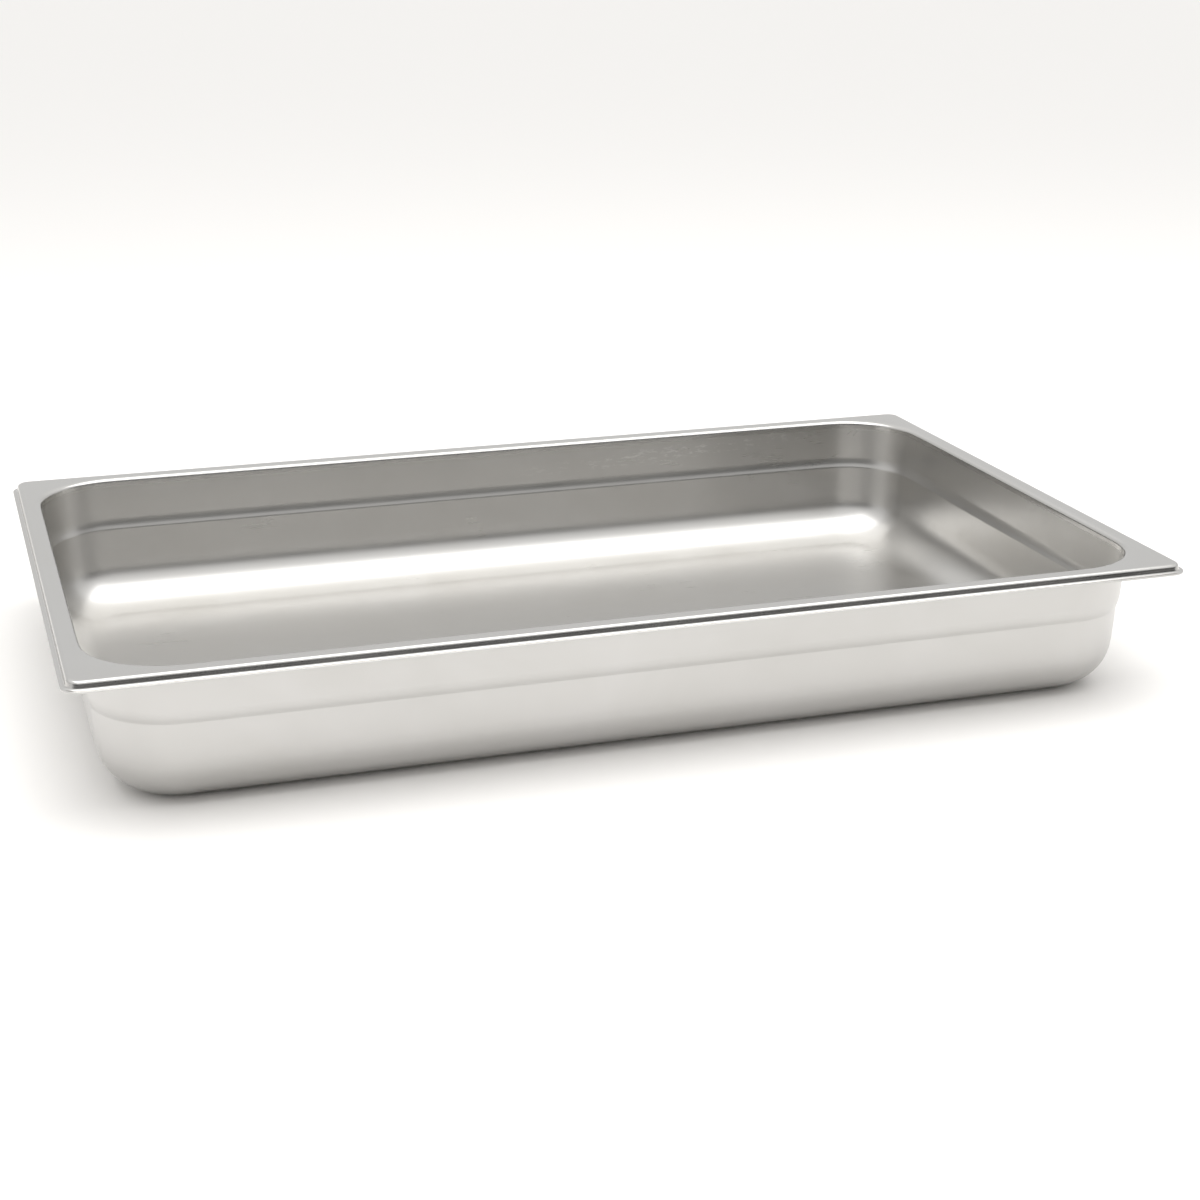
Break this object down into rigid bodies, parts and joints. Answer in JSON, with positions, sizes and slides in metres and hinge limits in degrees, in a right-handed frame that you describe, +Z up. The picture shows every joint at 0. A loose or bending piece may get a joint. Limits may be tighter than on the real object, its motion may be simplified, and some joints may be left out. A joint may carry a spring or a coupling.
{
  "type": "food pan",
  "caption": "Full-size gastronorm food pan: shallow rectangular stainless well with stacking shoulder, rounded corners and a stepped hanging rim.",
  "frame": {"origin": "centre of the base's underside, which stands on z = 0", "axes": "+X along the long side, +Y along the short side, +Z up out of the mouth"},
  "size_m": [0.53, 0.325, 0.0695],
  "materials": {
    "stainless_steel": "satin, fine-brushed 18/10 stainless sheet"
  },
  "bodies": {
    "root": {"pan_body": "stainless_steel"}
  },
  "joints": []
}
